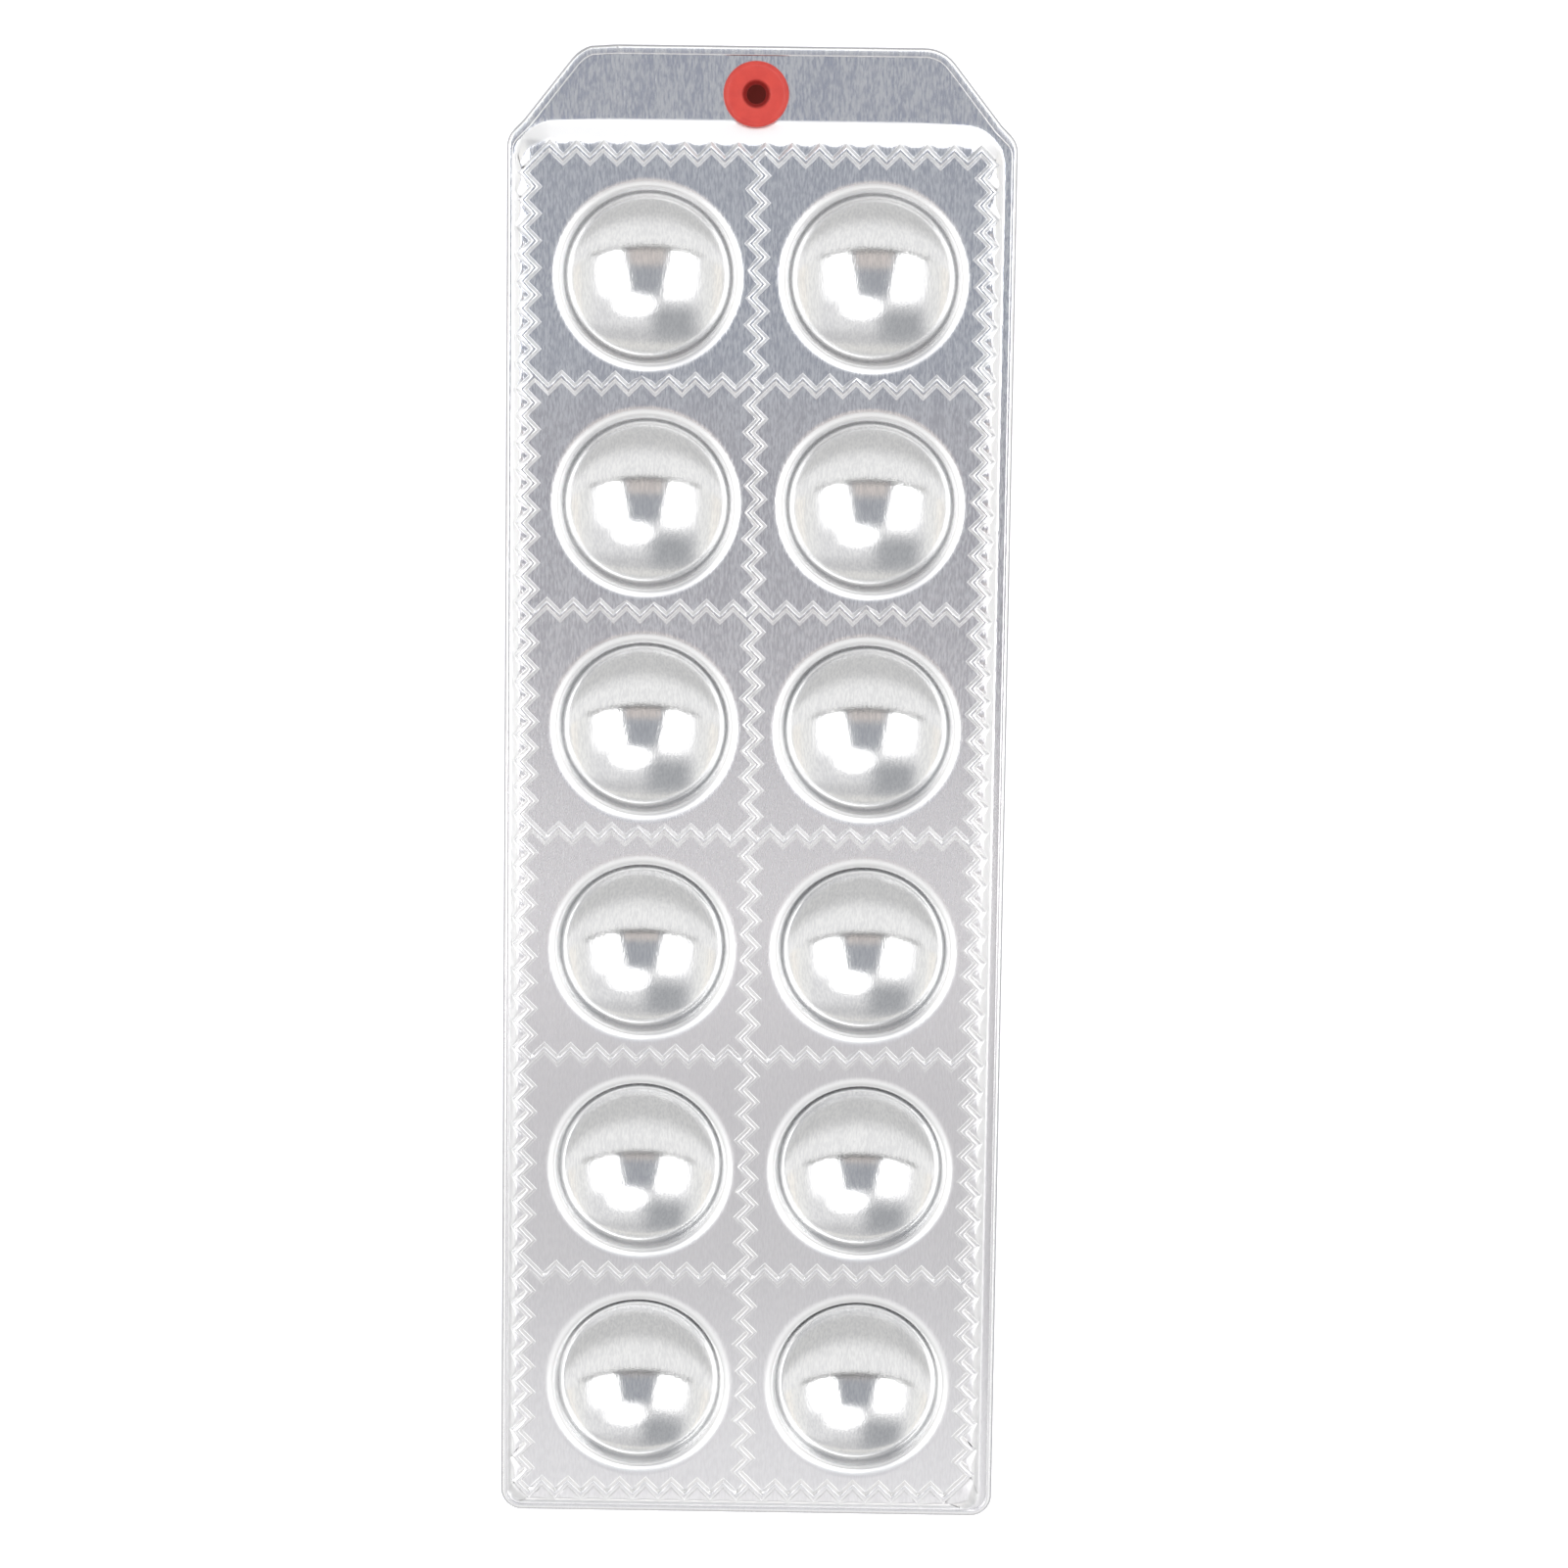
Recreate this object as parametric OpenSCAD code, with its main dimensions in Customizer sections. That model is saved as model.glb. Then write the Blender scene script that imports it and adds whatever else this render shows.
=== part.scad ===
// Twelve-cell ravioli mould pressed from one aluminium sheet, with a plastic hanging grommet.
// Millimetres. X runs across the mould, Y along it towards the hanging tab, Z up.
// It stands on its bowls: Z = 0 is their lowest point, and X = Y = 0 is the middle of its outline.

/* [Sheet] */
// Thickness of the aluminium sheet
sheet_t = 0.8; // [0.7:0.05:0.9]
// Width of the folded hem on the body
hem_w = 1.3; // [1.2:0.1:2]
// Width of the folded hem on the tab
tab_hem_w = 2.1; // [1.6:0.1:3]

/* [Cells] */
// Bowls across
columns = 2; // [1:1:3]
// Bowls along
rows = 6; // [2:1:7]
// Length of one full zigzag wave
zig_pitch = 5.6; // [5.5:0.05:5.8]
// Half waves along one side of a cell, an odd number so that neighbours mirror each other
half_waves = 17; // [17:2:19]
// Sideways shift of the pressed field and its zigzags against the bowls
field_shift = -0.75; // [-1:0.05:1]
// Lengthwise shift of the zigzags against the bowls
grid_shift = 0.85; // [-1:0.05:1]

/* [Ridges] */
// Height of the cutting ridges above the field
ridge_h = 1; // [0.6:0.1:1.4]
// Width of a ridge where it meets the field
ridge_foot_w = 1.8; // [1.4:0.1:2]
// Width of a ridge across its crest
ridge_crest_w = 0.8; // [0.4:0.1:1]
// Depth of the groove that the punch leaves under each ridge
groove_depth = 0.5; // [0.3:0.05:0.55]
// Width of that groove where it opens underneath
groove_w = 0.9; // [0.6:0.1:1.2]

/* [Bowls] */
// How much closer together the bowls stand than the cells, across
bowl_closer_x = 0.5; // [0:0.1:1]
// How much closer together the bowls stand than the cells, along
bowl_closer_y = 0.2; // [0:0.1:0.4]
// Diameter at which the field starts to roll into a bowl
mouth_d = 39.8; // [36:0.2:40.4]
// Depth of a bowl under the field
bowl_depth = 11; // [9.5:0.5:13]
// Radius of the rolled lip
lip_r = 1.8; // [1.2:0.1:2.4]
// Slope of the bowl wall under the lip
wall_angle = 68; // [62:1:74]
// Radius between the wall and the dished bottom
toe_r = 5; // [3:0.5:6]
// Slope at which the dished bottom meets that radius
dish_angle = 36; // [30:1:40]

/* [Border] */
// Drop from the field to the border and the tab
border_drop = 1.6; // [1.2:0.1:2]
// Width of the slope along the sides and the far end
slope_w = 1.6; // [1.4:0.1:2]
// Width of the slope at the tab
tab_slope_w = 4.5; // [3:0.1:6]
// From the middle of the outer zigzags to the top of the slope, along the sides
side_margin = 1.8; // [1.4:0.1:3]
// The same at the far end
end_margin = 2.45; // [1.4:0.05:4]
// The same at the tab
head_margin = 2.15; // [1.8:0.05:4]
// Least flat that is left between the foot of the slope and the hem
foot_gap = 0.1; // [0.1:0.1:0.6]
// Corner radius of the outline at the far end
end_corner_r = 4.6; // [4:0.2:8]
// Corner radius of the raised field
field_corner_r = 5; // [2:0.5:6]

/* [Tab] */
// Height of the tab above the foot of the slope
tab_h = 15.85; // [14.5:0.05:24]
// Angle of the sides of the tab against its base
tab_angle = 51.8; // [49:0.2:62]
// Corner radius at the top of the tab
tab_corner_r = 8; // [4:0.5:9]
// Size of the 45 degree shoulder between the body and the tab
shoulder = 3.3; // [3:0.1:6]
// Radius where the long edge turns into the shoulder
shoulder_r = 5; // [3:0.5:7]
// Distance of the relief cut in the hem from the middle of the tab
cut_x = 30.4; // [20:0.2:32]
// Width of that relief cut
cut_w = 0.3; // [0.2:0.1:0.6]

/* [Grommet] */
// Diameter of the hole punched in the tab
tab_hole_d = 8.4; // [7.6:0.1:8.8]
// Height of the grommet's centre above the foot of the slope
grommet_up = 5.9; // [5.8:0.1:7]
// Sideways place of the grommet
grommet_x = -1.4; // [-6:0.2:6]
// Width of the ring of sheet that the rim rests on
seat_w = 1.2; // [0.8:0.1:1.4]
// Diameter of the visible rim
rim_d = 13.6; // [12.6:0.2:14.4]
// Thickness of the visible rim
rim_t = 1.6; // [1.4:0.1:2.2]
// Bevel round the edge of the rim
rim_bevel = 0.4; // [0.2:0.1:0.5]
// Room between the edge of the rim and the slope under it
rim_room = 0.3; // [0.2:0.1:0.4]
// Diameter of the flange behind the tab
back_d = 11; // [10:0.2:12]
// Thickness of the flange behind the tab
back_t = 1.4; // [1:0.1:2]
// Bevel that lets the flange snap through the hole
back_bevel = 0.8; // [0.4:0.1:0.9]
// Diameter of the hanging hole
hang_d = 4; // [3:0.1:4.4]
// Diameter of the funnel mouth of the hanging hole
funnel_d = 5.8; // [5:0.1:6.4]
// Depth of the funnel
funnel_depth = 1; // [0.6:0.1:1.2]
// Play of the neck in the punched hole, each side
neck_play = 0.2; // [0.1:0.05:0.3]
// Play between the back flange and the sheet
back_play = 0.1; // [0.05:0.05:0.2]

/* [Hidden] */
$fn = 64;
// Thickness of the slabs between which a solid is stretched
slab = 0.01;
// How far a cut runs past the faces that it opens
past = 1;
// Steps of each rounded corner of an outline, and of the fold of the hem
corner_steps = 8;
fold_steps = 6;
// How deep the ridges root in the sheet
root = sheet_t / 2;

half = zig_pitch / 2;
cell = half_waves * half;
grid_w = columns * cell;
grid_len = rows * cell;

// Levels of the top face of the sheet
field_z = bowl_depth + sheet_t;
border_z = field_z - border_drop;

// Half widths of the top of the slope, of its foot and of the outline
field_half_w = grid_w / 2 + side_margin;
foot_half_w = field_half_w + slope_w;
body_half_w = foot_half_w + abs(field_shift) + foot_gap + hem_w;

// Places along the mould, from the far edge to the top of the tab
end_edge = hem_w + foot_gap + slope_w + end_margin;
body_len = end_edge + grid_len + head_margin + tab_slope_w + tab_h;
end_y = -body_len / 2;
tab_y = body_len / 2;
crease_y = tab_y - tab_h;
grid_low_y = end_y + end_edge;
grid_top_y = grid_low_y + grid_len;
grid_left_x = field_shift - grid_w / 2;
bowl_mid_y = (grid_low_y + grid_top_y) / 2 - grid_shift;

// How far a bend moves the under face of the sheet in from the upper one
side_bend = sheet_t * tan(atan(border_drop / slope_w) / 2);
tab_bend = sheet_t * tan(atan(border_drop / tab_slope_w) / 2);

// How far a ridge may run out over the slope before the sheet drops below its root
overrun = root * slope_w / border_drop;

// Outlines, as corners [x, y, radius] in anticlockwise order
shoulder_y = crease_y - shoulder;
kink_x = body_half_w - shoulder;
tab_half_w = kink_x - tab_h / tan(tab_angle);
outline = [
    [-body_half_w, end_y, end_corner_r],
    [body_half_w, end_y, end_corner_r],
    [body_half_w, shoulder_y, shoulder_r],
    [kink_x, crease_y, 0],
    [tab_half_w, tab_y, tab_corner_r],
    [-tab_half_w, tab_y, tab_corner_r],
    [-kink_x, crease_y, 0],
    [-body_half_w, shoulder_y, shoulder_r]
];
// Hem width on the edge that leaves each of those corners
hem_widths = [hem_w, hem_w, tab_hem_w, tab_hem_w, tab_hem_w, tab_hem_w, tab_hem_w, hem_w];

// The foot's corners at the tab are round enough to clear the hem on the shoulders
shoulder_reach = body_half_w + shoulder_y - sqrt(2) * (tab_hem_w + foot_gap);
foot_reach = foot_half_w + abs(field_shift) + crease_y;
foot_head_r = (foot_reach - shoulder_reach) / (2 - sqrt(2));
foot_end_r = end_corner_r - hem_w;
foot_end_y = grid_low_y - end_margin - slope_w;
foot = [
    [field_shift - foot_half_w, foot_end_y, foot_end_r],
    [field_shift + foot_half_w, foot_end_y, foot_end_r],
    [field_shift + foot_half_w, crease_y, foot_head_r],
    [field_shift - foot_half_w, crease_y, foot_head_r]
];
field_end_y = grid_low_y - end_margin;
field_top_y = grid_top_y + head_margin;
field_end_r = min(field_corner_r, foot_end_r);
field = [
    [field_shift - field_half_w, field_end_y, field_end_r],
    [field_shift + field_half_w, field_end_y, field_end_r],
    [field_shift + field_half_w, field_top_y, field_corner_r],
    [field_shift - field_half_w, field_top_y, field_corner_r]
];
bends = [side_bend, side_bend, tab_bend, side_bend];

// Bowl section: a dish, a toe radius, a straight wall and a lip, each tangent to the next
mouth_r = mouth_d / 2;
dish_run = mouth_r - toe_r * (sin(wall_angle) - sin(dish_angle)) - lip_r * sin(wall_angle);
dish_rise = bowl_depth - toe_r * (cos(dish_angle) - cos(wall_angle)) - lip_r * (1 - cos(wall_angle));
dish_share = sin(dish_angle) * sin(wall_angle) - (1 - cos(dish_angle)) * cos(wall_angle);
dish_r = (dish_run * sin(wall_angle) - dish_rise * cos(wall_angle)) / dish_share;

// Grommet
grommet_y = crease_y + grommet_up;
hole_r = tab_hole_d / 2;
neck_r = hole_r - neck_play;
rim_r = rim_d / 2;
seat_r = hole_r + seat_w;
rim_over = max(0, rim_r - grommet_up);
rim_lift = rim_over * border_drop / tab_slope_w + rim_room;

// Unit normal to the left of the edge from p to q, which points into an anticlockwise outline
function normal(p, q) = [p.y - q.y, q.x - p.x] / norm([q.x - p.x, q.y - p.y]);

function before(list, i) = list[(i + len(list) - 1) % len(list)];
function after(list, i) = list[(i + 1) % len(list)];

// The outline with each edge moved in by its own width, and its corners tightened to suit
function inset(corners, widths) = [
    for (i = [0 : len(corners) - 1])
        let (
            n1 = normal(before(corners, i), corners[i]),
            n2 = normal(corners[i], after(corners, i)),
            w1 = before(widths, i),
            w2 = widths[i],
            c = n1 * n2,
            move = (n1 * (w1 - c * w2) + n2 * (w2 - c * w1)) / (1 - c * c)
        )
        [corners[i].x + move.x, corners[i].y + move.y, max(0, corners[i].z - (w1 + w2) / 2)]
];
function inset_all(corners, width) = inset(corners, [for (c = corners) width]);

// The points of an outline, with an arc at each corner that has a radius
function rounded(corners) = [
    for (i = [0 : len(corners) - 1])
        let (
            v = [corners[i].x, corners[i].y],
            r = corners[i].z,
            n1 = normal(before(corners, i), corners[i]),
            n2 = normal(corners[i], after(corners, i)),
            centre = v + (n1 + n2) * r / (1 + n1 * n2),
            start = atan2(n1.y, n1.x),
            turn = acos(n1 * n2),
            steps = r > 0 ? corner_steps : 0
        )
        for (k = [0 : steps])
            steps == 0 ? v : centre - r * [cos(start + turn * k / steps), sin(start + turn * k / steps)]
];

// Vertex k of cross zigzag i, counted from the left and from the tab
function cross_point(i, k) = [
    grid_left_x + (k + 0.5) * half,
    grid_top_y - i * cell + ((i + k) % 2 == 1 ? half / 2 : -half / 2)
];

// Vertex r of lengthwise zigzag j, counted from the tab and from the left
function length_point(j, r) = [
    grid_left_x + j * cell + ((j + r) % 2 == 1 ? -half / 2 : half / 2),
    grid_top_y - (r + 0.5) * half
];

// The zigzags that bound a block of cells, as one anticlockwise loop.
// At every second corner two zigzags share a vertex, which is kept once.
function zigzag_loop(i1, i2, j1, j2) =
    let (
        all = concat(
            [for (r = [i1 * half_waves : i2 * half_waves - 1]) length_point(j1, r)],
            [for (k = [j1 * half_waves : j2 * half_waves - 1]) cross_point(i2, k)],
            [for (r = [i2 * half_waves - 1 : -1 : i1 * half_waves]) length_point(j2, r)],
            [for (k = [j2 * half_waves - 1 : -1 : j1 * half_waves]) cross_point(i1, k)]
        )
    )
    [for (k = [0 : len(all) - 1]) if (norm(all[k] - before(all, k)) > half / 2) all[k]];

// The same loop with every edge moved in by a width
function narrowed(loop, width) = [
    for (k = [0 : len(loop) - 1])
        let (n1 = normal(before(loop, k), loop[k]), n2 = normal(loop[k], after(loop, k)))
        loop[k] + (n1 + n2) * width / (1 + n1 * n2)
];

// A solid whose sides run from one width of a loop at its bottom to another at its top
module sloped_solid(loop, width_low, width_high, low, high) {
    n = len(loop);
    polyhedron(
        points = concat(
            [for (p = narrowed(loop, width_low)) [p.x, p.y, low]],
            [for (p = narrowed(loop, width_high)) [p.x, p.y, high]]
        ),
        faces = concat(
            [[for (k = [0 : n - 1]) k]],
            [[for (k = [2 * n - 1 : -1 : n]) k]],
            [for (k = [0 : n - 1]) [k, k + n, (k + 1) % n + n, (k + 1) % n]]
        )
    );
}

// The net of ridges: the whole block of cells less one pocket for each cell, all with sloping sides
module ridge_net() {
    height = ridge_h + root;
    lean = (ridge_foot_w - ridge_crest_w) / 2;
    root_w = ridge_foot_w / 2 + lean * root / ridge_h;
    pocket_lean = root_w - ridge_crest_w / 2;
    translate([0, 0, field_z - root])
        resize([0, 0, height])
            intersection() {
                difference() {
                    sloped_solid(zigzag_loop(0, rows, 0, columns), -root_w, -ridge_crest_w / 2, 0, 1);
                    for (i = [0 : rows - 1], j = [0 : columns - 1])
                        sloped_solid(
                            zigzag_loop(i, i + 1, j, j + 1),
                            root_w + pocket_lean, ridge_crest_w / 2 - pocket_lean, -1, 2
                        );
                }
                linear_extrude(1) polygon(rounded(inset_all(field, -overrun)));
            }
}

// The same net as the grooves that the punch leaves underneath, as far as the sheet is flat
module groove_net() {
    translate([0, 0, field_z - sheet_t - past])
        linear_extrude(past + groove_depth)
            intersection() {
                difference() {
                    polygon(narrowed(zigzag_loop(0, rows, 0, columns), -groove_w / 2));
                    for (i = [0 : rows - 1], j = [0 : columns - 1])
                        polygon(narrowed(zigzag_loop(i, i + 1, j, j + 1), groove_w / 2));
                }
                polygon(rounded(inset_all(field, 2 * side_bend)));
            }
}

module at_bowls() {
    for (i = [0 : columns - 1], j = [0 : rows - 1])
        translate([
            (i - (columns - 1) / 2) * (cell - bowl_closer_x),
            bowl_mid_y + (j - (rows - 1) / 2) * (cell - bowl_closer_y),
            0
        ]) children();
}

// One face of the bowl: the upper one at grow = 0, the under one at grow = sheet_t
function bowl_face(grow) =
    let (
        dish_z = sheet_t + dish_r,
        toe = (dish_r - toe_r) * [sin(dish_angle), -cos(dish_angle)] + [0, dish_z],
        lip = [mouth_r, field_z - lip_r]
    )
    concat(
        [for (a = [0 : 3 : dish_angle - 1]) (dish_r + grow) * [sin(a), -cos(a)] + [0, dish_z]],
        [for (k = [0 : 5]) let (a = dish_angle + (wall_angle - dish_angle) * k / 5)
            toe + (toe_r + grow) * [sin(a), -cos(a)]],
        [for (k = [0 : 6]) let (a = wall_angle * (1 - k / 6)) lip + (lip_r - grow) * [-sin(a), cos(a)]]
    );

module bowl() {
    under = bowl_face(sheet_t);
    rotate_extrude()
        polygon(concat(bowl_face(0), [for (k = [len(under) - 1 : -1 : 0]) under[k]]));
}

// The raised field with the slope that runs down from it to the border
module raised_field() {
    difference() {
        hull() {
            translate([0, 0, border_z - sheet_t]) linear_extrude(sheet_t) polygon(rounded(foot));
            translate([0, 0, field_z - slab]) linear_extrude(slab) polygon(rounded(field));
        }
        hull() {
            translate([0, 0, border_z - sheet_t - past])
                linear_extrude(past) polygon(rounded(inset(foot, bends)));
            translate([0, 0, field_z - sheet_t - slab])
                linear_extrude(slab) polygon(rounded(inset(field, bends)));
        }
        at_bowls() cylinder(h = field_z + past, r = mouth_r);
    }
}

// The flat border and the tab, inside the hem
module border_sheet() {
    translate([0, 0, border_z - sheet_t])
        linear_extrude(sheet_t)
            difference() {
                polygon(rounded(inset_all(outline, hem_w / 2)));
                polygon(rounded(inset_all(foot, side_bend / 2)));
            }
}

// The hem: the edge of the sheet folded flat onto itself, as one section carried round the outline
module hem() {
    fold = [for (k = [0 : fold_steps]) let (a = 180 * k / fold_steps - 90)
        [sheet_t * (1 - cos(a)), border_z + sheet_t * sin(a)]];
    rings = concat(
        [for (f = fold) [rounded(inset_all(outline, f.x)), f.y]],
        [for (z = [border_z + sheet_t, border_z - sheet_t]) [rounded(inset(outline, hem_widths)), z]]
    );
    turns = len(rings[0][0]);
    polyhedron(
        points = [for (ring = rings) for (p = ring[0]) [p.x, p.y, ring[1]]],
        faces = [
            for (s = [0 : len(rings) - 1]) for (k = [0 : turns - 1])
                let (s2 = (s + 1) % len(rings), k2 = (k + 1) % turns)
                [s * turns + k, s2 * turns + k, s2 * turns + k2, s * turns + k2]
        ]
    );
}

module mould_plate() {
    color("silver")
        difference() {
            union() {
                border_sheet();
                hem();
                raised_field();
                at_bowls() bowl();
                ridge_net();
            }
            groove_net();
            translate([grommet_x, grommet_y, border_z - sheet_t - past])
                cylinder(h = sheet_t + 2 * past, r = hole_r);
            translate([-cut_x, tab_y - tab_hem_w, border_z])
                cube([cut_w, tab_hem_w - sheet_t, sheet_t + past]);
        }
}

module hanging_grommet() {
    back_z = -sheet_t - back_play;
    color("tomato")
        translate([grommet_x, grommet_y, border_z])
            rotate_extrude()
                polygon([
                    [hang_d / 2, back_z - back_t],
                    [back_d / 2 - back_bevel, back_z - back_t],
                    [back_d / 2, back_z - back_t + back_bevel],
                    [back_d / 2, back_z],
                    [neck_r, back_z],
                    [neck_r, 0],
                    [seat_r, 0],
                    [rim_r, rim_lift],
                    [rim_r, rim_t - rim_bevel],
                    [rim_r - rim_bevel, rim_t],
                    [funnel_d / 2, rim_t],
                    [hang_d / 2, rim_t - funnel_depth]
                ]);
}

mould_plate();
hanging_grommet();
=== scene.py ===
"""Ravioli mould pressed from one aluminium sheet, with a red plastic hanging grommet.

X runs across the mould, Y along it towards the tab, Z up. Shapes are in millimetres until a mesh is
made; materials, stage and camera are in metres.
"""
import math

import bmesh
import bpy
import numpy as np
from mathutils.geometry import delaunay_2d_cdt
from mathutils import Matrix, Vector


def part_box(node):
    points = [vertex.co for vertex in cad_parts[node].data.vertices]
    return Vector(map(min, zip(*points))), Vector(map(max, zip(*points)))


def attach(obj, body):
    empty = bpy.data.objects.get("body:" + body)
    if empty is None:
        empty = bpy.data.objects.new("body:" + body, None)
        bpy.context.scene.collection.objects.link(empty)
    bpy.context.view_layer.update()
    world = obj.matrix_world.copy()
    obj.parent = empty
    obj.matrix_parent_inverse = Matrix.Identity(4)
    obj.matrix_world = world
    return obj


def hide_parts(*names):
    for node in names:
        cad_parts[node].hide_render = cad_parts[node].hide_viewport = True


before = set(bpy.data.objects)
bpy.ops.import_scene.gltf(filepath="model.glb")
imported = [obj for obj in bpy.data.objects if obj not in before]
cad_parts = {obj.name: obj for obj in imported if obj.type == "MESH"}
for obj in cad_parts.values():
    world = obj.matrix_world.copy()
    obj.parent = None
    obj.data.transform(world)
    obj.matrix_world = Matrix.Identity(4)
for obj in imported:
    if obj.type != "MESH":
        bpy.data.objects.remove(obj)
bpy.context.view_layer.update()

MM = 0.001

# Sheet, hem and cells, as in the solid model
SHEET_T = 0.8
HEM_W = 1.3
TAB_HEM_W = 2.1
COLUMNS = 2
ROWS = 6
HALF_WAVE = 2.8
HALF_WAVES = 17
CELL = HALF_WAVE * HALF_WAVES
FIELD_SHIFT = -0.75
GRID_SHIFT = 0.85

# Bowls: a shallow outer lip, its tight inner bend, the wall, a toe radius and the dish. The mouth is
# a little wider and the wall steeper than in the solid model, for the bright ring round each bowl
BOWL_STEP_X = CELL - 0.5
BOWL_STEP_Y = CELL - 0.2
MOUTH_R = 20.5
BOWL_DEPTH = 11.0
LIP_OUTER_R = 4.6
LIP_ANGLE = math.radians(22)
LIP_R = 1.0
WALL_ANGLE = math.radians(75)
TOE_R = 5.0
DISH_ANGLE = math.radians(36)

# Levels of the top face of the sheet
BORDER_DROP = 1.6
FIELD_Z = BOWL_DEPTH + SHEET_T
BORDER_Z = FIELD_Z - BORDER_DROP

# Slope and border
SLOPE_W = 1.6
TAB_SLOPE_W = 4.5
SIDE_MARGIN = 1.8
END_MARGIN = 2.45
HEAD_MARGIN = 2.15
FOOT_GAP = 0.1
END_CORNER_R = 4.6
FIELD_CORNER_R = 5.0

# Tab and shoulders
TAB_H = 15.85
TAB_ANGLE = math.radians(51.8)
TAB_CORNER_R = 8.0
SHOULDER = 3.3
SHOULDER_R = 5.0
CUT_X = -30.25
CUT_W = 0.3

# Grommet, and the hole in the tab that it sits in
TAB_HOLE_R = 4.2
GROMMET_UP = 5.9
GROMMET_X = -1.4
HANGING_HOLE_R = 2.0
NECK_R = 4.0
GROMMET_COLUMNS = 96
# Its flange under the sheet, bevelled, with a small gap between the two
FLANGE_R = 5.5
FLANGE_H = 0.8
FLANGE_GAP = 0.1
# Its rim on the sheet: radius where it rests, height of its underside at the edge, and the width and
# height of the chamfer there
SEAT_R = 5.4
RIM_RISE = 0.62
RIM_CHAMFER = (0.1, 0.12)
# The rim's bevel and faint ring: distance in from its edge, distance under its top, and rounding
RIM_TOP = ((0.0, 0.42, 0.12), (0.5, 0.02, 0.15), (0.75, 0.08, 0.1), (1.1, 0.0, 0.12))
# Its funnel: mouth, radius and drop at the bend, and the drop from there to the hanging hole
FUNNEL_MOUTH_R = 3.0
FUNNEL_R = 2.3
FUNNEL_DROP = 1.4
FUNNEL_FOOT = 0.7

# Ridges: distance from the middle line, and the share of the full height there
RIDGE_H = 1.0
RIDGE_OUT = np.array([0.0, 0.26, 0.36, 0.47, 0.78, 0.88, 0.95, 1.02])
RIDGE_UP = np.array([1.0, 1.0, 0.95, 0.80, 0.20, 0.05, 0.0, 0.0])
# The groove that the punch leaves under each ridge
GROOVE_DEPTH = 0.5
GROOVE_OUT = np.array([0.0, 0.36, 0.50, 0.56])
GROOVE_UP = np.array([1.0, 1.0, 0.0, 0.0])
# Width of the flat ring round the mouth of a bowl, inside which the lip's bend has to end
LIP_EDGE = 0.15
# A ridge that would come nearer to a mouth than this is moved out, and its two sides close up to this
# share of their distance
RIDGE_CLEAR = 1.5 * LIP_EDGE
RIDGE_CLOSE_UP = 0.25
# A ridge dies away between these shares of the slope
RIDGE_FADE = (0.05, 0.62)
# Columns round a bowl, and steps down its lip, its toe and its dish on the top and the under face
BOWL_COLUMNS = 144
TOP_STEPS = (3, 4, 8)
UNDER_STEPS = (2, 2, 3)

# The finish at each point of the sheet, a point attribute that also carries painted dark reflection: 0
# flats,
# 0.5 lips and slope, 0.58 ridges, 1 the dish of a bowl, and from 1.8 on the painted dark reflection on the
# fold of the hem
BEND_WORKED = 0.5
DISH_WORKED = 1.0
FOLD_PAINTED_FULL = 1.8
# Across a ridge, from its middle line
RIDGE_WORKED = np.array([0.0, 0.2, 0.58, 0.58, 0.58, 0.58, 0.3, 0.0])
# In a bowl, by the radius, from the dish over the wall and the lip to the flat
BOWL_WORKED_R = (14.5, 16.3, 17.6, 18.2, 19.2, MOUTH_R)
BOWL_WORKED = (1.0, 0.75, 0.75, 0.5, 0.5, 0.0)
# On the hem, from its inner edge over the fold to the flat underneath. Values above the dish's 1 are
# painted
# dark reflection: a dark line at the inner edge, and the dark fold
HEM_FINISH_AND_PAINTED_DARK = np.array([1.6, 0.6, 0.1, 0.2, 0.8, 1.8, 2.0, 2.0, 2.0, 2.0, 1.0, 0.0])
# Where on the slope its finish starts, and the share of the slope over which it comes in
SLOPE_WORKED_FROM = -0.05
SLOPE_WORKED_OVER = 0.15

# Places along the mould, from the frame
plate_low, plate_high = (np.array(corner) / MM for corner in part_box("mould_plate"))
BODY_HALF_W = plate_high[0]
END_Y = plate_low[1]
TAB_Y = plate_high[1]
CREASE_Y = TAB_Y - TAB_H
GRID_LOW_Y = END_Y + HEM_W + FOOT_GAP + SLOPE_W + END_MARGIN
GRID_TOP_Y = GRID_LOW_Y + ROWS * CELL
GRID_LEFT_X = FIELD_SHIFT - COLUMNS * CELL / 2
BOWL_MID_Y = (GRID_LOW_Y + GRID_TOP_Y) / 2 - GRID_SHIFT
FIELD_HALF_W = COLUMNS * CELL / 2 + SIDE_MARGIN
FOOT_HALF_W = FIELD_HALF_W + SLOPE_W
GROMMET = np.array([GROMMET_X, CREASE_Y + GROMMET_UP])

# The slope towards the tab, in metres, and the widths over which its matt finish comes in at its top
# and at its foot
HEAD_LOW = (GRID_TOP_Y + HEAD_MARGIN) * MM
HEAD_TOP = CREASE_Y * MM
HEAD_LOW_EDGE = 0.0010
HEAD_TOP_EDGE = 0.0002

# Shape of the bends at the top and foot of the slope, as a share of its width
BEND_SOFT = 0.13
# Slope shares at which the sheet has a ring of points, and the least step between them
SLOPE_RINGS = (-0.24, -0.09, 0.05, 0.2, 0.8, 0.93)
UNDER_RINGS = (-0.15, 0.05, 0.3, 0.7, 0.95)
RING_STEP = 0.02
# Shares of the way from the foot of the slope to the hem at which the border has a ring of points
BORDER_RINGS = np.array([0.02, 0.06, 0.2, 0.36, 0.52, 0.68, 0.84, 1.0])
# Rows and columns of those points between which the grommet's hole is let in
HOLE_ROWS = (1, 6)
HOLE_HALF_COLUMNS = 5

# Inner step of the hem: shares of its width and of the sheet's thickness at its rings
HEM_STEP = ((1.0, 0.75), (0.93, 0.97), (0.86, 1.0))
HEM_FOLD_RINGS = 9
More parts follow.
